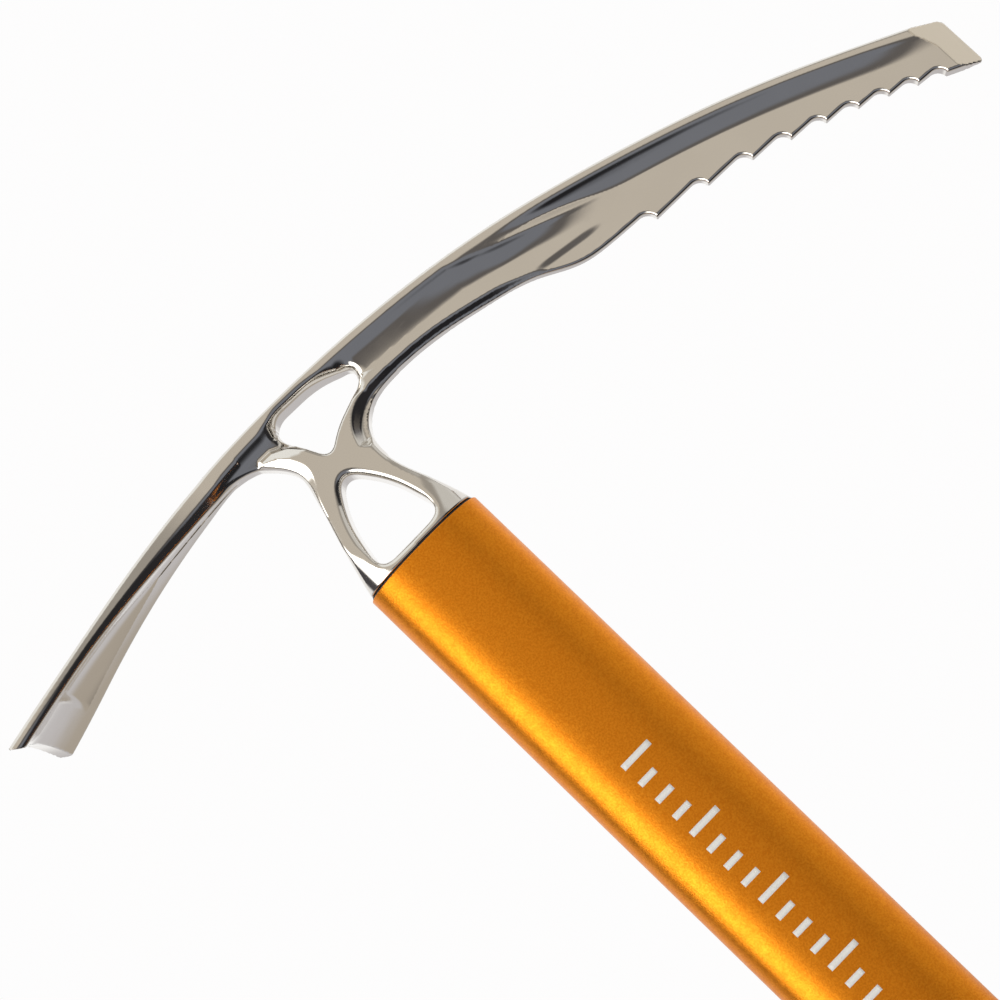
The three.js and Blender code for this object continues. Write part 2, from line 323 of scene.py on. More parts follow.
# Bevels along the neck's back edge, the arch, and the tip of the pick.
BACK_BEVEL_FOOT = 19.0
BACK_BEVEL_WIDTH = 2.8
BACK_BEVEL_SLOPE = 0.55
ARCH_BEVEL = 1.4
ARCH_BEVEL_EXTRA = 0.4
ARCH_BEVEL_SLOPE = 0.95
ARCH_LAND = 0.3
ARCH_LAND_EXTRA = 0.9
WEDGE_START = 155.0
WEDGE_SLOPE = 0.45

# The adze, its dished underside and its ground edge.
ADZE_ROOT = -24.0
ADZE_THICK = 3.0
ADZE_ROOT_EXTRA = 2.6
ADZE_CUP = 2.4
UNDERCUT_SLOPE = 0.85
DISH_DEPTH = 0.2
DISH_EXTRA = 1.5
DISH_HALF = 0.5
DISH_HALF_EXTRA = 15.0
DISH_START = -45.0
DISH_REACH = 32.0

WINDOW_ROUNDING = 0.9
LOWER_WINDOW_ROUNDING = 1.3


def spine_half_width(x):
    """The flange narrows to the tip; behind the neck it ducks inside the adze."""
    along = np.clip((x - SPINE_TAPER_START) / (PICK_END - SPINE_TAPER_START), 0.0, 1.0)
    ducked = SPINE_DUCK * (1.0 - ramp(x, -26.0, -18.0))
    return SPINE_HALF + (TIP_SPINE_HALF - SPINE_HALF) * along**SPINE_TAPER_POWER - ducked


def flange_depth(x):
    """How far the flange reaches down from the ridge: furthest behind the upper window."""
    return FLANGE_DEPTH + FLANGE_EXTRA * (1.0 - ramp(x, -8.0, -3.0))


def web_half_thickness(x):
    """Half the plate under its flange: thin along the pick, thicker into the neck."""
    ahead = BLADE_HALF + (ARM_WEB_HALF - BLADE_HALF) * (1.0 - ramp(x, 20.0, 76.0))
    ahead = ahead + (TIP_BLADE_HALF - BLADE_HALF) * ramp(x, 142.0, 157.0)
    return ahead - (ARM_WEB_HALF - ROOT_WEB_HALF) * (1.0 - ramp(x, -4.0, 4.0))


def cove(depth, start, length, near_neck):
    """1 above the start of a hollow curve, 0 at its foot; steepest where it starts.

    A short lip at the start makes it steeper still, most of all near the neck.
    """
    past = 0.5 * (depth - start + np.hypot(depth - start, FLANGE_EDGE))
    flank = (1.0 - np.clip(past / length, 0.0, 1.0)) ** (COVE_POWER - 0.4 * near_neck)
    lip = (1.0 - np.clip(past / (1.1 + 1.9 * near_neck), 0.0, 1.0)) ** 2
    lip_share = 0.1 + 0.24 * near_neck
    return (1.0 - lip_share) * flank + lip_share * lip


def cove_length(x):
    """The cove is longest between the neck and the crease."""
    return COVE_LENGTH - 1.8 * ramp(x, 43.0, 61.0) - 1.6 * (1.0 - ramp(x, -10.0, 10.0))


def fold_rise(x, z):
    """A soft step in the blade, above the belly behind the first tooth."""
    above = z - FOLD_Z + FOLD_SLOPE * (x - FOLD_X)
    rise = FOLD_RISE * ramp(above, -1.3, 1.1) * (1.0 - ramp(above, 2.0, 9.0))
    return rise * ramp(x, 56.0, 65.0) * (1.0 - ramp(x, 73.0, 83.0))


def plate_half_thickness(x, z):
    """A flange at the ridge that coves down to the web.

    Along the middle of the pick the cove splits: its lower part starts at a crease that
    leaves the flange and sinks slowly into the blade.
    """
    depth = (RIDGE(x) - z) / np.sqrt(1.0 + ridge_slope(x) ** 2)
    web = web_half_thickness(x)
    flange = flange_depth(x)
    length = cove_length(x)
    past_start = np.maximum(x - CREASE_START, 0.0)
    crease = flange + CREASE_DEPTH * np.tanh(past_start / CREASE_REACH)
    near_neck = 1.0 - ramp(x, 26.0, 50.0)
    share = UPPER_COVE_SHARE * ramp(x, CREASE_START, 53.0)
    share = share + (1.0 - UPPER_COVE_SHARE) * ramp(x, 56.0, 92.0)
    upper_length = UPPER_COVE_LENGTH + (length - UPPER_COVE_LENGTH) * ramp(x, 68.0, 90.0)
    upper = cove(depth, flange, upper_length, near_neck)
    lower = cove(depth, crease, length, near_neck)
    drop = share * upper + (1.0 - share) * lower
    return web + (spine_half_width(x) - web) * drop + fold_rise(x, z)


def cheek_half_thickness(x):
    """The neck's flat cheeks, which sink towards the pick."""
    return NECK_HALF - (NECK_HALF - ARM_WEB_HALF) * ramp(x, 5.0, 24.0)


def neck_half_thickness(x, z):
    """The cheeks, swelling out to the collar at the foot."""
    swell = np.clip((FOOT_TOP - z) / FOOT_TOP, 0.0, 1.0) ** FOOT_POWER
    return cheek_half_thickness(x) + (COLLAR_Y - NECK_HALF) * swell


def back_edge_half(z):
    """Half the thickness left at the neck's back edge by the bevel along it."""
    return NECK_HALF - BACK_BEVEL_SLOPE * BACK_BEVEL_WIDTH * ramp(z, 20.0, 31.0)


def arch_land_half(x, z):
    """Half the thickness of the narrow land along the arch's edge."""
    cheek, web = cheek_half_thickness(x), web_half_thickness(x)
    whole = cheek + (web - cheek) * ramp(x, 18.0, 26.0)
    onset = np.where(x < 20.0, ramp(z, 22.9, 25.3), 1.0)
    depth = ARCH_BEVEL + ARCH_BEVEL_EXTRA * (1.0 - ramp(x, 12.0, 26.0))
    return whole - depth * onset * (1.0 - ramp(x, 50.0, 66.0))


def arch_land_width(x):
    """The land is widest beside the neck and a mere line along the pick."""
    return ARCH_LAND + ARCH_LAND_EXTRA * (1.0 - ramp(x, 9.0, 22.0))


def adze_half_width(x):
    """Half the adze's width: narrow at the neck, flared at the edge."""
    along = np.clip((x - ADZE_ROOT) / (ADZE_END - ADZE_ROOT), 0.0, 1.0)
    flare = along**2 * (3.0 - 2.0 * along)
    return SPINE_HALF + (ADZE_HALF - SPINE_HALF) * (0.45 * along + 0.55 * flare)


def adze_dish(x, y):
    """Depth of the wedge-shaped dish in the underside, which widens to the edge."""
    reach = np.clip((DISH_START - x) / DISH_REACH, 0.0, 1.0)
    across = np.clip(y / (DISH_HALF + DISH_HALF_EXTRA * reach**0.75), 0.0, 1.0)
    return (DISH_DEPTH + DISH_EXTRA * reach) * (1.0 - across**2) * ramp(x, -78.6, -76.4)


def adze_field(x, y, z):
    """A flared, slightly cupped plate, undercut along both sides and ground at its edge."""
    half = adze_half_width(x)
    root = ramp(x, -30.0, -15.0)
    cup = ADZE_CUP * (half / ADZE_HALF) ** 1.5 * (1.0 - root)
    crown = cup * (1.0 - np.clip(y / half, 0.0, 1.1) ** 2)
    thick = ADZE_THICK + ADZE_ROOT_EXTRA * ramp(x, -72.0, ADZE_ROOT)
    under = RIDGE(x) + crown - thick + adze_dish(x, y) - z
    top = z - RIDGE(x) - crown
    side = y - half + 0.3 * root
    slope = UNDERCUT_SLOPE + 0.6 * root
    undercut = side + slope * (RIDGE(x) + crown - 0.6 * thick - z)
    undercut = undercut / np.hypot(1.0, slope)
    plate = overlap(overlap(top, side, 0.9), under, 0.35)
    plate = overlap(plate, undercut, 0.45)
    end = ADZE_END - x
    grind = (end + RIDGE(x) + crown - z) * math.sqrt(0.5)
    plate = overlap(overlap(plate, end, 0.1), grind, 0.1)
    return overlap(plate, x + 14.0, 1.0)


def window_rounding(x, z):
    """The upper window's rim is rounded more under the flange, most towards the pick."""
    return WINDOW_ROUNDING + np.maximum(1.1 * ramp(z, 34.0, 38.5), 1.7 * ramp(x, 12.5, 16.5))


def oval_field(x, y):
    """The collar's oval, carried straight up and down."""
    reach = (np.abs(x) / COLLAR_X) ** OVAL_POWER + (y / COLLAR_Y) ** OVAL_POWER
    return (reach ** (1.0 / OVAL_POWER) - 1.0) * COLLAR_Y


class HeadField:
    """The whole head: negative inside the metal, in millimetres near its surface."""

    def __init__(self):
        self.plate_outline = OutlineField(plate_outline())
        self.neck_outline = OutlineField(neck_outline())
        self.upper_window = OutlineField(UPPER_WINDOW)
        self.lower_window = OutlineField(LOWER_WINDOW)

    def plate(self, x, y, z, rim):
        """Pick, ridge and web, with the ground wedge at the tip."""
        plate = overlap(rim, y - plate_half_thickness(x, z), 0.8)
        wedge = y - TIP_SPINE_HALF + WEDGE_SLOPE * (x - WEDGE_START)
        return overlap(plate, wedge / math.hypot(1.0, WEDGE_SLOPE), 0.05)

    def neck(self, x, y, z):
        """The thick middle, bevelled along its back and trimmed to the collar's oval."""
        edge = self.neck_outline(x, z)
        neck = overlap(edge, y - neck_half_thickness(x, z), np.where(x < 0.0, 0.8, 1.2))
        back = y + BACK_BEVEL_SLOPE * edge - back_edge_half(z)
        bevelled = overlap(neck, back / math.hypot(1.0, BACK_BEVEL_SLOPE), 0.4)
        neck = np.where((x < 1.0) & (z > BACK_BEVEL_FOOT), bevelled, neck)
        return np.where(z < 22.0, overlap(neck, oval_field(x, y), 0.8), neck)

    def arch_step(self, x, y, z, rim):
        """The wall and the narrow land that follow the arch's edge."""
        land = y - arch_land_half(x, z)
        wall = land + ARCH_BEVEL_SLOPE * (rim + arch_land_width(x))
        return union(land, wall / math.hypot(1.0, ARCH_BEVEL_SLOPE), 0.3)

    def __call__(self, x, y, z):
        y = np.abs(y)
        rim = self.plate_outline(x, z)
        fillet = 1.2 - 0.9 * ramp(x, 10.0, 18.0)
        solid = union(self.plate(x, y, z, rim), self.neck(x, y, z), fillet)
        along_arch = (x > 5.0) & (x < 70.0) & (z > 22.0) & (z < RIDGE(x) - 6.0)
        solid = np.where(along_arch, overlap(solid, self.arch_step(x, y, z, rim), 0.3), solid)
        solid = union(solid, adze_field(x, y, z), 0.3)
        solid = overlap(solid, -self.upper_window(x, z), window_rounding(x, z))
        lower_rounding = LOWER_WINDOW_ROUNDING + 0.6 * ramp(z, 4.0, 10.0)
        solid = overlap(solid, -self.lower_window(x, z), lower_rounding)
        below_collar = -z - 1.0e3 * (x > 40.0)
        return overlap(solid, below_collar, 0.15)


# ---- Meshing a field -------------------------------------------------------------------

CORNERS = [(i, j, k) for i in (0, 1) for j in (0, 1) for k in (0, 1)]
CELL_EDGES = [(a, b) for a in range(8) for b in range(a + 1, 8)
              if sum(abs(p - q) for p, q in zip(CORNERS[a], CORNERS[b])) == 1]


def surface_net(field, low, high, step):
    """Vertices and quads of the field's zero surface, one vertex in each cell it crosses."""
    axes = [low[k] + step * np.arange(int(math.ceil((high[k] - low[k]) / step)) + 1)
            for k in range(3)]
    x, y, z = np.meshgrid(*axes, indexing="ij", sparse=True)
    value = np.empty([len(a) for a in axes], np.float32)
    slab = 32  # layers at a time, to spare memory
    for i in range(0, len(axes[0]), slab):
        value[i:i + slab] = field(x[i:i + slab], y, z)
    inside = value < 0.0
    cells = [n - 1 for n in value.shape]
    filled = sum(inside[i:i + cells[0], j:j + cells[1], k:k + cells[2]].astype(np.int8)
                 for i, j, k in CORNERS)
    active = np.argwhere((filled > 0) & (filled < 8))
    number = np.full(cells, -1, np.int64)
    number[tuple(active.T)] = np.arange(len(active))
    corner_values = [value[tuple((active + offset).T)] for offset in CORNERS]
    total = np.zeros((len(active), 3))
    count = np.zeros(len(active))
    for a, b in CELL_EDGES:
        va, vb = corner_values[a], corner_values[b]
        cross = (va < 0.0) != (vb < 0.0)
        share = np.where(cross, va / np.where(cross, va - vb, 1.0), 0.0)[:, None]
        point = np.array(CORNERS[a]) + share * (np.array(CORNERS[b]) - np.array(CORNERS[a]))
        total += np.where(cross[:, None], point, 0.0)
        count += cross
    vertices = np.array(low) + step * (active + total / count[:, None])
    quads = []
    for axis in range(3):
        u, v = (axis + 1) % 3, (axis + 2) % 3
        near = np.take(inside, range(0, value.shape[axis] - 1), axis)
        far = np.take(inside, range(1, value.shape[axis]), axis)
        edges = np.argwhere(near != far)
        edges = edges[(edges[:, u] > 0) & (edges[:, v] > 0)
                      & (edges[:, u] < cells[u]) & (edges[:, v] < cells[v])]
        ring = []
        for du, dv in ((0, 0), (1, 0), (1, 1), (0, 1)):
            cell = edges.copy()
            cell[:, u] -= 1 - du
            cell[:, v] -= 1 - dv
            ring.append(number[tuple(cell.T)])
        quad = np.column_stack(ring)
        outward = near[tuple(edges.T)]
        quads.append(np.where(outward[:, None], quad, quad[:, ::-1]))
    return vertices, np.vstack(quads)


def field_gradient(field, points, reach=0.03):
    """The field's slope at each point, from samples a little to either side."""
    gradient = np.empty_like(points)
    for k in range(3):
        ahead, behind = points.copy(), points.copy()
        ahead[:, k] += reach
        behind[:, k] -= reach
        gradient[:, k] = (field(*ahead.T) - field(*behind.T)) / (2.0 * reach)
    return gradient


SLIDES = 4


def cast_mesh(name, field, low, high, step):
    """A closed mesh of the field, its vertices on the surface and its normals exact."""
    points, quads = surface_net(field, low, high, step)
    for _ in range(SLIDES):
        gradient = field_gradient(field, points)
        size2 = np.maximum((gradient**2).sum(1), 0.05)
        shift = (field(*points.T) / size2)[:, None] * gradient
        length = np.linalg.norm(shift, axis=1, keepdims=True)
        points -= shift * np.minimum(1.0, 0.5 * step / np.maximum(length, 1e-9))
    normals = field_gradient(field, points)
    normals /= np.maximum(np.linalg.norm(normals, axis=1, keepdims=True), 1e-9)
    piece = new_piece(name, points * MM, quads.tolist())
    piece.data.normals_split_custom_set_from_vertices(normals.tolist())
    return piece


def new_piece(name, vertices, faces):
    """A smooth-shaded object from vertices in metres and faces of vertex numbers."""
    mesh = bpy.data.meshes.new(name)
    mesh.from_pydata(np.asarray(vertices).tolist(), [], faces)
    mesh.validate()
    mesh.update()
    for polygon in mesh.polygons:
        polygon.use_smooth = True
    piece = bpy.data.objects.new(name, mesh)
    bpy.context.scene.collection.objects.link(piece)
    return piece


# ---- Pieces ----------------------------------------------------------------------------

FIELD_MARGIN = 1.0
BAR_CORE = 0.01


def oval_ring(half_x, half_y, z, count=160):
    """One turn of the shaft's oval, evenly enough spaced for smooth shading."""
    turn = np.linspace(0.0, 2.0 * math.pi, count, endpoint=False)
    cos, sin = np.cos(turn), np.sin(turn)
    scale = (np.abs(cos) ** OVAL_POWER + np.abs(sin) ** OVAL_POWER) ** (-1.0 / OVAL_POWER)
    return np.column_stack([half_x * cos * scale, half_y * sin * scale, np.full(count, z)])


def ring_solid(name, rings):
    """A closed skin over rings that run round a section and back to the first."""
    count = len(rings[0])
    vertices = np.vstack(rings) * MM
    faces = []
    for r in range(len(rings)):
        here, after = r * count, (r + 1) % len(rings) * count
        for i in range(count):
            j = (i + 1) % count
            faces.append((here + i, after + i, after + j, here + j))
    return new_piece(name, vertices, faces)


def tube(name, half_x, half_y, wall, bottom, top, lip):
    """An oval tube with rounded lips at both ends."""
    curl = []
    for turn in np.radians((30, 60, 90)):
        curl.append((lip * (1 - math.cos(turn)), lip * (1 - math.sin(turn))))
    profile = [(0.0, top - lip), (0.0, bottom + lip)]
    profile += [(inset, bottom + rise) for inset, rise in curl]
    profile += [(wall, bottom), (wall, top)]
    profile += [(inset, top - rise) for inset, rise in reversed(curl)]
    rings = [oval_ring(half_x - inset, half_y - inset, z) for inset, z in profile]
    return ring_solid(name, rings)


def build_head():
    low = np.array([ADZE_END, -ADZE_HALF, HEAD_FOOT]) - FIELD_MARGIN
    high = np.array([PICK_END, ADZE_HALF, HEAD_TOP]) + FIELD_MARGIN
    return cast_mesh("head_casting", HeadField(), low, high, HEAD_STEP)


def oval_bar(name, half_x, half_y, bottom, top):
    """A solid oval bar with flat ends, each end a ring of faces round a tiny core."""
    rings = [
        oval_ring(half_x * BAR_CORE, half_y * BAR_CORE, bottom),
        oval_ring(half_x, half_y, bottom),
        oval_ring(half_x, half_y, top),
        oval_ring(half_x * BAR_CORE, half_y * BAR_CORE, top),
    ]
    count = len(rings[0])
    vertices = np.vstack(rings) * MM
    faces = []
    for r in range(len(rings) - 1):
        for i in range(count):
            j = (i + 1) % count
            faces.append((r * count + i, r * count + j, (r + 1) * count + j, (r + 1) * count + i))
    faces.append(tuple(reversed(range(count))))
    faces.append(tuple(range(3 * count, 4 * count)))
    piece = new_piece(name, vertices, faces)
    for polygon in piece.data.polygons:
        polygon.use_smooth = abs(polygon.normal.z) < 0.5
    return piece


# ---- Spike -----------------------------------------------------------------------------

EYE_CENTRE_Z = SPIKE_RIM - 30.0
EYE_HALF_X = 6.2
EYE_HALF_Z = 9.0
SPIKE_LENGTH = SPIKE_RIM - SPIKE_POINT
SPIKE_CHEEK_HALF = 4.0
POINT_HALF = 0.7
CHEEK_START = 17.0
TAPER_START = 56.0
TAPER_LENGTH = 28.0

# Half width and half thickness against the distance below the collar's rim.
LEAF_HALF = Spline([
    (0, COLLAR_X), (9, 14.5), (26, 11.5), (46, 9.1), (70, 4.5), (SPIKE_LENGTH, POINT_HALF),
])
SPIKE_CHEEK = Spline([(0, COLLAR_Y), (4, 9.4), (11, 5.7), (CHEEK_START, SPIKE_CHEEK_HALF)])


def spike_field(x, y, z):
    """A leaf with flat cheeks, a carabiner eye and a blunt point."""
    x, y = np.abs(x), np.abs(y)
    below = np.clip(SPIKE_RIM - z, 0.0, SPIKE_LENGTH)
    leaf = (x - LEAF_HALF(below)) * 0.95
    to_point = np.clip((below - TAPER_START) / TAPER_LENGTH, 0.0, 1.0)
    taper = SPIKE_CHEEK_HALF + (POINT_HALF - SPIKE_CHEEK_HALF) * to_point
    cheek = np.where(below < CHEEK_START, SPIKE_CHEEK(below), taper)
    solid = overlap(leaf, y - cheek, 1.2)
    solid = overlap(solid, oval_field(x, y), 0.6)
    reach = np.hypot(x / EYE_HALF_X, (z - EYE_CENTRE_Z) / EYE_HALF_Z)
    solid = overlap(solid, (1.0 - reach) * EYE_HALF_X, 1.0)
    solid = overlap(solid, z - SPIKE_RIM, 0.15)
    return overlap(solid, SPIKE_POINT - z, 0.5)


def build_spike():
    low = np.array([-COLLAR_X, -COLLAR_Y, SPIKE_POINT]) - FIELD_MARGIN
    high = np.array([COLLAR_X, COLLAR_Y, SPIKE_RIM]) + FIELD_MARGIN
    return cast_mesh("spike_leaf", spike_field, low, high, SPIKE_STEP)


def pin(name, centre, axis, length, radius):
    """A cross pin with shallow domed ends, turned round the axis it lies along."""
    profile = [(0.0, 0.5), (0.45, 0.495), (0.8, 0.488), (0.95, 0.482), (1.0, 0.474)]
    profile += [(r, -t) for r, t in reversed(profile)]
    count = 40
    turn = np.linspace(0.0, 2.0 * math.pi, count, endpoint=False)
    u, v = (axis + 1) % 3, (axis + 2) % 3
    vertices, faces = [], []
    for r, t in profile[1:-1]:
        ring = np.zeros((count, 3))
        ring[:, axis] = t * length
        ring[:, u] = r * radius * np.cos(turn)
        ring[:, v] = r * radius * np.sin(turn)
        vertices.append(ring + centre)
    rings = len(vertices)
    for k in range(rings - 1):
        for i in range(count):
            j = (i + 1) % count
            faces.append((k * count + i, (k + 1) * count + i, (k + 1) * count + j, k * count + j))
    faces.append(tuple(range(count)))
    faces.append(tuple(reversed(range((rings - 1) * count, rings * count))))
    return new_piece(name, np.vstack(vertices) * MM, faces)


# ---- Printed depth marks ---------------------------------------------------------------

MARK_TOP = -64.0
MARK_PITCH = 5.0
MARK_COUNT = 23
MARK_THICK = 1.5
MARK_START = -4.0
LONG_MARK_END = 4.0
SHORT_MARK_END = 0.6
INK_LIFT = 0.03
INK_ROOT = -0.05


def shaft_face(x):
    """How far out the shaft's broad face is, at a distance across it."""
    return OVAL_Y * (1.0 - (np.abs(x) / OVAL_X) ** OVAL_POWER) ** (1.0 / OVAL_POWER)


def depth_marks(side):
    """White graduations along one broad face: a long one in every four."""
    vertices, faces = [], []
    steps = 9
    for i in range(MARK_COUNT):
        z = MARK_TOP - i * MARK_PITCH
        reach = LONG_MARK_END if i % 4 == 0 else SHORT_MARK_END
        across = np.linspace(MARK_START, reach, steps)
        first = len(vertices)
        for x in across:
            for lift in (INK_ROOT, INK_LIFT):
                for end in (0.0, -MARK_THICK):
                    vertices.append((x, side * (shaft_face(x) + lift), z + end))
        for s in range(steps - 1):
            a = first + 4 * s
            for p, q in ((0, 1), (1, 3), (3, 2), (2, 0)):
                faces.append((a + p, a + q, a + q + 4, a + p + 4))
        faces.append((first, first + 2, first + 3, first + 1))
        last = first + 4 * (steps - 1)
        faces.append((last, last + 1, last + 3, last + 2))
    name = "depth_marks_front" if side < 0 else "depth_marks_back"
    piece = new_piece(name, np.array(vertices) * MM, faces)
    if side < 0:
        piece.data.flip_normals()
    return piece


# ---- Shading ---------------------------------------------------------------------------

class Shading:
    """Short names for building a node tree."""

    def __init__(self, tree):
        self.tree = tree
        tree.nodes.clear()

    def node(self, kind, **settings):
        made = self.tree.nodes.new(kind)
        for name, value in settings.items():
            setattr(made, name, value)
        return made

    def feed(self, socket, value):
        """Links a socket, or sets a plain number or colour."""
        if isinstance(value, bpy.types.NodeSocket):
            self.tree.links.new(value, socket)
        else:
            socket.default_value = value

    def math(self, operation, a, b=0.0):
        made = self.node("ShaderNodeMath", operation=operation)
        self.feed(made.inputs[0], a)
        self.feed(made.inputs[1], b)
        return made.outputs[0]

    def ramp(self, value, start, end, low=0.0, high=1.0):
        made = self.node("ShaderNodeMapRange", interpolation_type="SMOOTHSTEP")
        for socket, feed in zip(made.inputs, (value, start, end, low, high)):
            self.feed(socket, feed)
        return made.outputs[0]

    def mix(self, share, a, b):
        """Colour a where the share is 0, colour b where it is 1."""
        made = self.node("ShaderNodeMix", data_type="RGBA")
        self.feed(made.inputs[0], share)
        self.feed(made.inputs[6], a)
        self.feed(made.inputs[7], b)
        return made.outputs[2]

    def noise(self, scale, detail=2.0, stretch=(1.0, 1.0, 1.0)):
        """Noise fixed to the object, its features about 1 / scale metres across."""
        place = self.node("ShaderNodeTexCoord").outputs["Object"]
        mapping = self.node("ShaderNodeMapping")
        mapping.inputs["Scale"].default_value = stretch
        self.feed(mapping.inputs["Vector"], place)
        made = self.node("ShaderNodeTexNoise")
        self.feed(made.inputs["Vector"], mapping.outputs[0])
        made.inputs["Scale"].default_value = scale
        made.inputs["Detail"].default_value = detail
        return made.outputs[0]

    def bump(self, height, distance, strength=1.0, normal=None):
        made = self.node("ShaderNodeBump")
        made.inputs["Strength"].default_value = strength
        made.inputs["Distance"].default_value = distance
        self.feed(made.inputs["Height"], height)
        if normal is not None:
            self.feed(made.inputs["Normal"], normal)
        return made.outputs[0]


def surface(name, metallic, colour, roughness, normal=None, **plain):
    """A material from its own node sockets; plain ones are numbers on the shader itself."""
    material = bpy.data.materials.new(name)
    material.use_nodes = True
    shading = Shading(material.node_tree)
    shader = shading.node("ShaderNodeBsdfPrincipled")
    shader.inputs["Metallic"].default_value = metallic
    shading.feed(shader.inputs["Base Color"], colour(shading))
    shading.feed(shader.inputs["Roughness"], roughness(shading))
    if normal is not None:
        shading.feed(shader.inputs["Normal"], normal(shading))
    for socket, value in plain.items():
        shader.inputs[socket.replace("_", " ")].default_value = value
    output = shading.node("ShaderNodeOutputMaterial")
    shading.feed(output.inputs["Surface"], shader.outputs[0])
    return material


GROUND_ROUGHNESS = 0.38


def ground_facet(s):
    """1 on the ground wedge at the pick's tip, 0 on the polish."""
    place = s.node("ShaderNodeTexCoord").outputs["Object"]
    split = s.node("ShaderNodeSeparateXYZ")
    s.feed(split.inputs[0], place)
    along = s.math("SUBTRACT", split.outputs[0], WEDGE_START * MM)
    plane = s.math("SUBTRACT", TIP_SPINE_HALF * MM, s.math("MULTIPLY", along, WEDGE_SLOPE))
    off = s.math("ABSOLUTE", s.math("SUBTRACT", s.math("ABSOLUTE", split.outputs[1]), plane))
    return s.ramp(off, 0.12 * MM, 0.03 * MM)


def polished_steel():
    """Mirror polish with faint clouds, fine scratches and the waves of a hand-held wheel."""
    def colour(s):
        cloud = s.ramp(s.noise(70.0), 0.3, 0.7)
        polish = s.mix(cloud, (0.80, 0.775, 0.735, 1), (0.78, 0.755, 0.715, 1))
        # The ground wedge is really rougher than the polish, but its paler, warmer colour is painted
        # reflection of the warm light round it.
        return s.mix(ground_facet(s), polish, (0.98, 0.90, 0.78, 1))

    def roughness(s):
        cloud = s.ramp(s.noise(160.0, 4.0), 0.35, 0.75, 0.075, 0.14)
        scratch = s.ramp(s.noise(900.0, 2.0, (0.15, 1.0, 1.0)), 0.62, 0.75, 0.0, 0.07)
        ground = s.math("MULTIPLY", ground_facet(s), GROUND_ROUGHNESS)
        return s.math("MAXIMUM", s.math("ADD", cloud, scratch), ground)

    def normal(s):
        waves = s.bump(s.noise(110.0, 1.0), 0.00006)
        return s.bump(s.noise(2600.0, 2.0, (0.3, 1.0, 1.0)), 0.0000010, 1.0, waves)

    return surface("polished_steel", 1.0, colour, roughness, normal)


def anodised_shaft():
    """Bead-blasted aluminium dyed orange."""
    def colour(s):
        grain = s.ramp(s.noise(2300.0, 3.0), 0.35, 0.65)
        return s.mix(grain, (0.80, 0.245, 0.012, 1), (0.92, 0.32, 0.02, 1))

    def roughness(s):
        return s.ramp(s.noise(500.0, 3.0), 0.3, 0.7, 0.34, 0.41)

    def normal(s):
        return s.bump(s.noise(2800.0, 2.0), 0.00004)

    return surface("anodised_shaft", 1.0, colour, roughness, normal)


def black_seal():
    """Matt black filler between steel and aluminium."""
    def colour(s):
        return s.mix(s.noise(900.0), (0.012, 0.012, 0.012, 1), (0.03, 0.028, 0.027, 1))

    def roughness(s):
        return s.ramp(s.noise(1500.0), 0.3, 0.7, 0.55, 0.75)

    return surface("black_seal", 0.0, colour, roughness)


def cured_epoxy():
    """The dark adhesive round the tangs."""
    def colour(s):
        return s.mix(s.noise(300.0), (0.04, 0.045, 0.042, 1), (0.06, 0.062, 0.058, 1))

    def roughness(s):
        return s.ramp(s.noise(700.0), 0.3, 0.7, 0.4, 0.6)

    return surface("cured_epoxy", 0.0, colour, roughness)


def satin_pin():
    """Turned steel, slightly dull."""
    def colour(s):
        return s.mix(s.noise(800.0), (0.52, 0.50, 0.48, 1), (0.60, 0.58, 0.55, 1))

    def roughness(s):
        return s.ramp(s.noise(1800.0, 3.0), 0.3, 0.7, 0.25, 0.4)

    return surface("satin_pin", 1.0, colour, roughness)


def white_ink():
    """Printed marks, worn thin in places."""
    def colour(s):
        wear = s.ramp(s.noise(2500.0, 3.0), 0.55, 0.8)
        return s.mix(wear, (0.86, 0.86, 0.85, 1), (0.72, 0.70, 0.66, 1))

    def roughness(s):
        return s.ramp(s.noise(1500.0), 0.3, 0.7, 0.45, 0.6)

    return surface("white_ink", 0.0, colour, roughness)


# ---- Studio ----------------------------------------------------------------------------

BACKDROP = (0.985, 0.98, 0.98, 1)
FLOOR_RADIUS = 3.4
FLOOR_DROP = 0.2
DEGREES = 57.29578  # in one radian

# What the polish reflects: linear colours of the cards and gaps of the light tent.
FRONT_CARD = (0.60, 0.545, 0.47, 1)
FRONT_SHADE = (0.38, 0.35, 0.31, 1)
RIGHT_CARD = (0.66, 0.64, 0.60, 1)
TABLE_BROWN = (0.13, 0.12, 0.115, 1)
TABLE_BLUE = (0.19, 0.20, 0.23, 1)
TABLE_BLACK = (0.018, 0.018, 0.02, 1)
TABLE_RIGHT = (0.025, 0.024, 0.026, 1)
OVERHEAD_WHITE = (0.95, 0.95, 0.92, 1)
BEHIND_GREY = (0.58, 0.56, 0.565, 1)
BEHIND_BROWN = (0.46, 0.41, 0.35, 1)
BEHIND_WHITE = (0.97, 0.96, 0.95, 1)
GAP_DARK = (0.07, 0.065, 0.07, 1)
KEY_LIGHT = (3.3, 3.25, 3.15, 1)


def light_direction(s):
    """Degrees round from straight ahead, positive to the right, and degrees above level."""
    split = s.node("ShaderNodeSeparateXYZ")
    s.feed(split.inputs[0], s.node("ShaderNodeTexCoord").outputs["Generated"])
    right, behind, up = split.outputs
    ahead = s.math("MULTIPLY", behind, -1.0)
    turn = s.math("MULTIPLY", s.math("ARCTAN2", right, ahead), DEGREES)
    height = s.math("MULTIPLY", s.math("ARCSINE", up), DEGREES)
    return turn, height


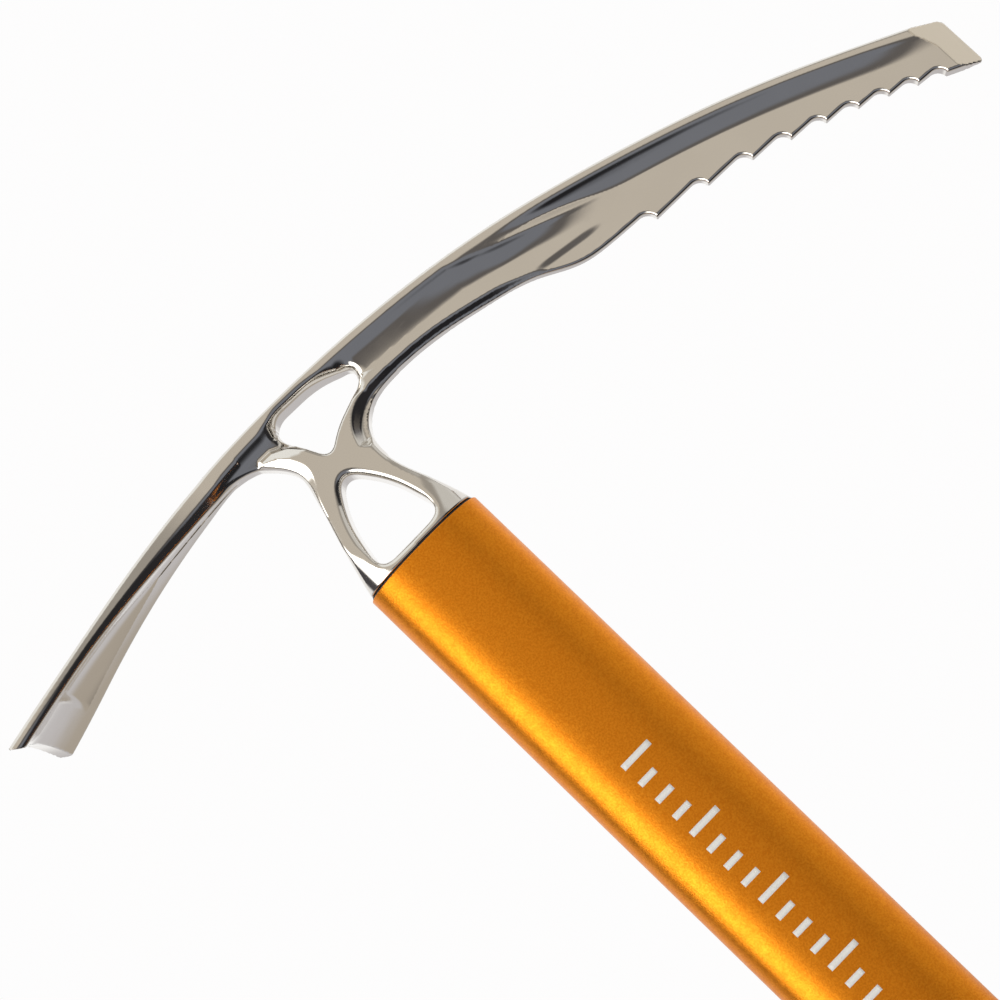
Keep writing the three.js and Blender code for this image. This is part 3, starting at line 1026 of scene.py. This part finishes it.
def front_and_below(s, turn, height):
    """A warm card ahead, a second at the right, white overhead and a dark table below."""
    front = s.mix(s.ramp(turn, 14.0, 30.0), FRONT_CARD, FRONT_SHADE)
    right_card = s.math("MULTIPLY", s.ramp(turn, 38.0, 52.0), s.ramp(height, 34.0, 22.0))
    front = s.mix(right_card, front, RIGHT_CARD)
    below = s.mix(s.ramp(height, -24.0, -36.0), TABLE_BROWN, TABLE_BLUE)
    below = s.mix(s.ramp(height, -56.0, -72.0), below, TABLE_BLACK)
    below = s.mix(s.ramp(turn, 26.0, 44.0), below, TABLE_RIGHT)
    light = s.mix(s.ramp(height, -5.0, -20.0), front, below)
    return s.mix(s.ramp(height, 34.0, 56.0), light, OVERHEAD_WHITE)


def with_backdrop(s, turn, height, light):
    """Adds the pale backdrop, which the faces at the edges of the castings reflect."""
    around = s.math("ABSOLUTE", turn)
    share = s.math("MULTIPLY", s.ramp(around, 78.0, 108.0), s.ramp(height, -66.0, -40.0))
    low = s.mix(s.ramp(height, -16.0, -28.0), BEHIND_GREY, BEHIND_BROWN)
    tone = s.mix(s.ramp(height, -8.0, 2.0), low, BEHIND_WHITE)
    return s.mix(share, light, tone)


def with_key(s, turn, height, light):
    """Adds the bright key card at the left and the dark gap behind it."""
    gap = s.math("MULTIPLY", s.ramp(turn, -70.0, -80.0), s.ramp(turn, -112.0, -98.0))
    light = s.mix(s.math("MULTIPLY", gap, s.ramp(height, 60.0, 40.0)), light, GAP_DARK)
    key = s.math("MULTIPLY", s.ramp(turn, -36.0, -46.0), s.ramp(turn, -80.0, -70.0))
    key = s.math("MULTIPLY", key, s.ramp(height, -48.0, -38.0))
    key = s.math("MULTIPLY", key, s.ramp(height, 34.0, 24.0))
    return s.mix(key, light, KEY_LIGHT)


def studio_light():
    """The world lights the axe as a light tent; the camera itself sees a plain backdrop."""
    world = bpy.data.worlds.new("studio")
    bpy.context.scene.world = world
    world.use_nodes = True
    s = Shading(world.node_tree)
    turn, height = light_direction(s)
    light = front_and_below(s, turn, height)
    light = with_backdrop(s, turn, height, light)
    light = with_key(s, turn, height, light)
    seen = s.node("ShaderNodeLightPath").outputs["Is Camera Ray"]
    background = s.node("ShaderNodeBackground")
    s.feed(background.inputs["Color"], s.mix(seen, light, BACKDROP))
    s.feed(s.node("ShaderNodeOutputWorld").inputs["Surface"], background.outputs[0])
    bpy.context.scene.view_settings.view_transform = "Standard"


def floor_disc():
    """A disc of rings and spokes, just under the spike."""
    rings, count = 24, 96
    vertices, faces = [(0.0, 0.0, 0.0)], []
    for r in range(1, rings + 1):
        for i in range(count):
            turn = 2.0 * math.pi * i / count
            radius = FLOOR_RADIUS * r / rings
            vertices.append((radius * math.cos(turn), radius * math.sin(turn), 0.0))
    for i in range(count):
        faces.append((0, 1 + i, 1 + (i + 1) % count))
    for r in range(rings - 1):
        a, b = 1 + r * count, 1 + (r + 1) * count
        for i in range(count):
            j = (i + 1) % count
            faces.append((a + i, b + i, b + j, a + j))
    level = np.array([0, 0, (SPIKE_POINT - FLOOR_DROP) * MM])
    return new_piece("floor", np.array(vertices) + level, faces)


def pale_floor():
    """Matt white that clears away towards the disc's rim."""
    material = bpy.data.materials.new("pale_floor")
    material.use_nodes = True
    s = Shading(material.node_tree)
    split = s.node("ShaderNodeSeparateXYZ")
    s.feed(split.inputs[0], s.node("ShaderNodeTexCoord").outputs["Object"])
    squares = [s.math("POWER", split.outputs[k], 2.0) for k in (0, 1)]
    radius = s.math("SQRT", s.math("ADD", *squares))
    matt = s.node("ShaderNodeBsdfDiffuse")
    tone = s.mix(s.noise(40.0, 4.0), (0.90, 0.895, 0.885, 1), (0.93, 0.925, 0.92, 1))
    s.feed(matt.inputs["Color"], tone)
    clear = s.node("ShaderNodeBsdfTransparent")
    blend = s.node("ShaderNodeMixShader")
    s.feed(blend.inputs[0], s.ramp(radius, 0.5 * FLOOR_RADIUS, 0.97 * FLOOR_RADIUS))
    s.feed(blend.inputs[1], matt.outputs[0])
    s.feed(blend.inputs[2], clear.outputs[0])
    s.feed(s.node("ShaderNodeOutputMaterial").inputs["Surface"], blend.outputs[0])
    return material


def studio_floor():
    """The pale floor, which the polish doesn't reflect."""
    floor = floor_disc()
    floor.visible_glossy = False
    floor.data.materials.append(pale_floor())


def place_camera():
    """Low, ahead of the broad face and rolled, so that the shaft runs to the lower right."""
    eye = Vector((0.8, -680.0, -97.3)) * MM
    aim = Vector((19.3, 0.0, -4.6)) * MM
    roll = math.radians(46.2)
    data = bpy.data.cameras.new("camera")
    data.sensor_width = 36.0
    data.lens = 113.6
    data.clip_start = 0.05
    data.clip_end = 50.0
    camera = bpy.data.objects.new("camera", data)
    facing = (aim - eye).to_track_quat("-Z", "Y").to_matrix().to_4x4()
    camera.matrix_world = Matrix.Translation(eye) @ facing @ Matrix.Rotation(-roll, 4, "Z")
    bpy.context.scene.collection.objects.link(camera)
    bpy.context.scene.camera = camera


# ---- Assembly --------------------------------------------------------------------------

HEAD_STEP = 0.46
SPIKE_STEP = 0.5
SHAFT_BOTTOM = SHAFT_LOW[2]
SHAFT_TOP = SHAFT_HIGH[2]
SHAFT_WALL = 1.7
SHAFT_LIP = 0.2
JOINT_GAP = SEAL_LOW[2] - SHAFT_TOP
SEAL_INSET = 0.15
SEAL_WALL = 1.4
SEAL_LIP = 0.1
TANG_GAP = 0.5
TANG_INSET = 3.0
PIN_RADIUS = 2.5
PIN_PROUD = 0.5
STEEL = polished_steel()
ANODISED = anodised_shaft()
SEAL = black_seal()
EPOXY = cured_epoxy()
PIN_STEEL = satin_pin()
INK = white_ink()


def place(piece, material, slot, replaced=None):
    """A finished piece: its material, its body and the CAD node it stands for. The slot is not used.
    """
    piece.data.materials.clear()
    piece.data.materials.append(material)
    if replaced:
        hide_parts(replaced)
    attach(piece, "root")


def tang(name, bottom, top):
    """The oval tang of a casting, out of sight in the shaft."""
    half_x = (SEAL_HIGH[0] - SEAL_LOW[0]) / 2 - TANG_INSET
    half_y = (SEAL_HIGH[1] - SEAL_LOW[1]) / 2 - TANG_INSET
    return oval_bar(name, half_x, half_y, bottom, top)


def seal_ring(name, bottom, top):
    """The black ring between a collar and the shaft's end."""
    return tube(name, COLLAR_X - SEAL_INSET, COLLAR_Y - SEAL_INSET, SEAL_WALL, bottom, top, SEAL_LIP)


def place_castings():
    """The head and the spike, each with its tang."""
    place(build_head(), STEEL, "polished_steel", "head")
    head_tang = tang("head_tang", HEAD_LOW[2], -TANG_GAP)
    place(head_tang, STEEL, "polished_steel", "head")
    place(build_spike(), STEEL, "polished_steel", "spike")
    spike_tang = tang("spike_tang", SPIKE_RIM - TANG_GAP, SPIKE_HIGH[2])
    place(spike_tang, STEEL, "polished_steel", "spike")


def place_shaft():
    """The tube runs most of the way across the joint at each end, and a seal fills the rest."""
    top = SHAFT_TOP + 3 * JOINT_GAP
    bottom = SHAFT_BOTTOM - 3 * JOINT_GAP
    shaft = tube("shaft_skin", OVAL_X, OVAL_Y, SHAFT_WALL, bottom, top, SHAFT_LIP)
    place(shaft, ANODISED, "anodised_shaft", "shaft_tube")
    place(seal_ring("head_seal_ring", top, 0.0), SEAL, "black_seal", "head_joint_seal")
    place(seal_ring("spike_seal_ring", SPIKE_RIM, bottom), SEAL, "black_seal", "spike_joint_seal")


def place_pins():
    """The head's pin crosses along X, the spike's along Y."""
    for name, node, axis, low, high in (
            ("head_pin_domed", "head_cross_pin", 0, HEAD_PIN_LOW, HEAD_PIN_HIGH),
            ("spike_pin_domed", "spike_cross_pin", 1, SPIKE_PIN_LOW, SPIKE_PIN_HIGH)):
        length = high[axis] - low[axis] + PIN_PROUD
        made = pin(name, (low + high) / 2, axis, length, PIN_RADIUS)
        place(made, PIN_STEEL, "pin_steel", node)


def place_marks():
    for side in (-1, 1):
        place(depth_marks(side), INK, "anodised_shaft")


def colour_sleeves():
    """The adhesive keeps its CAD shape and only gets its material."""
    for node in ("head_bond_sleeve", "spike_bond_sleeve"):
        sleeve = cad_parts[node]
        sleeve.data.materials.clear()
        sleeve.data.materials.append(EPOXY)


place_camera()
studio_light()
studio_floor()
place_castings()
place_shaft()
place_pins()
place_marks()
colour_sleeves()
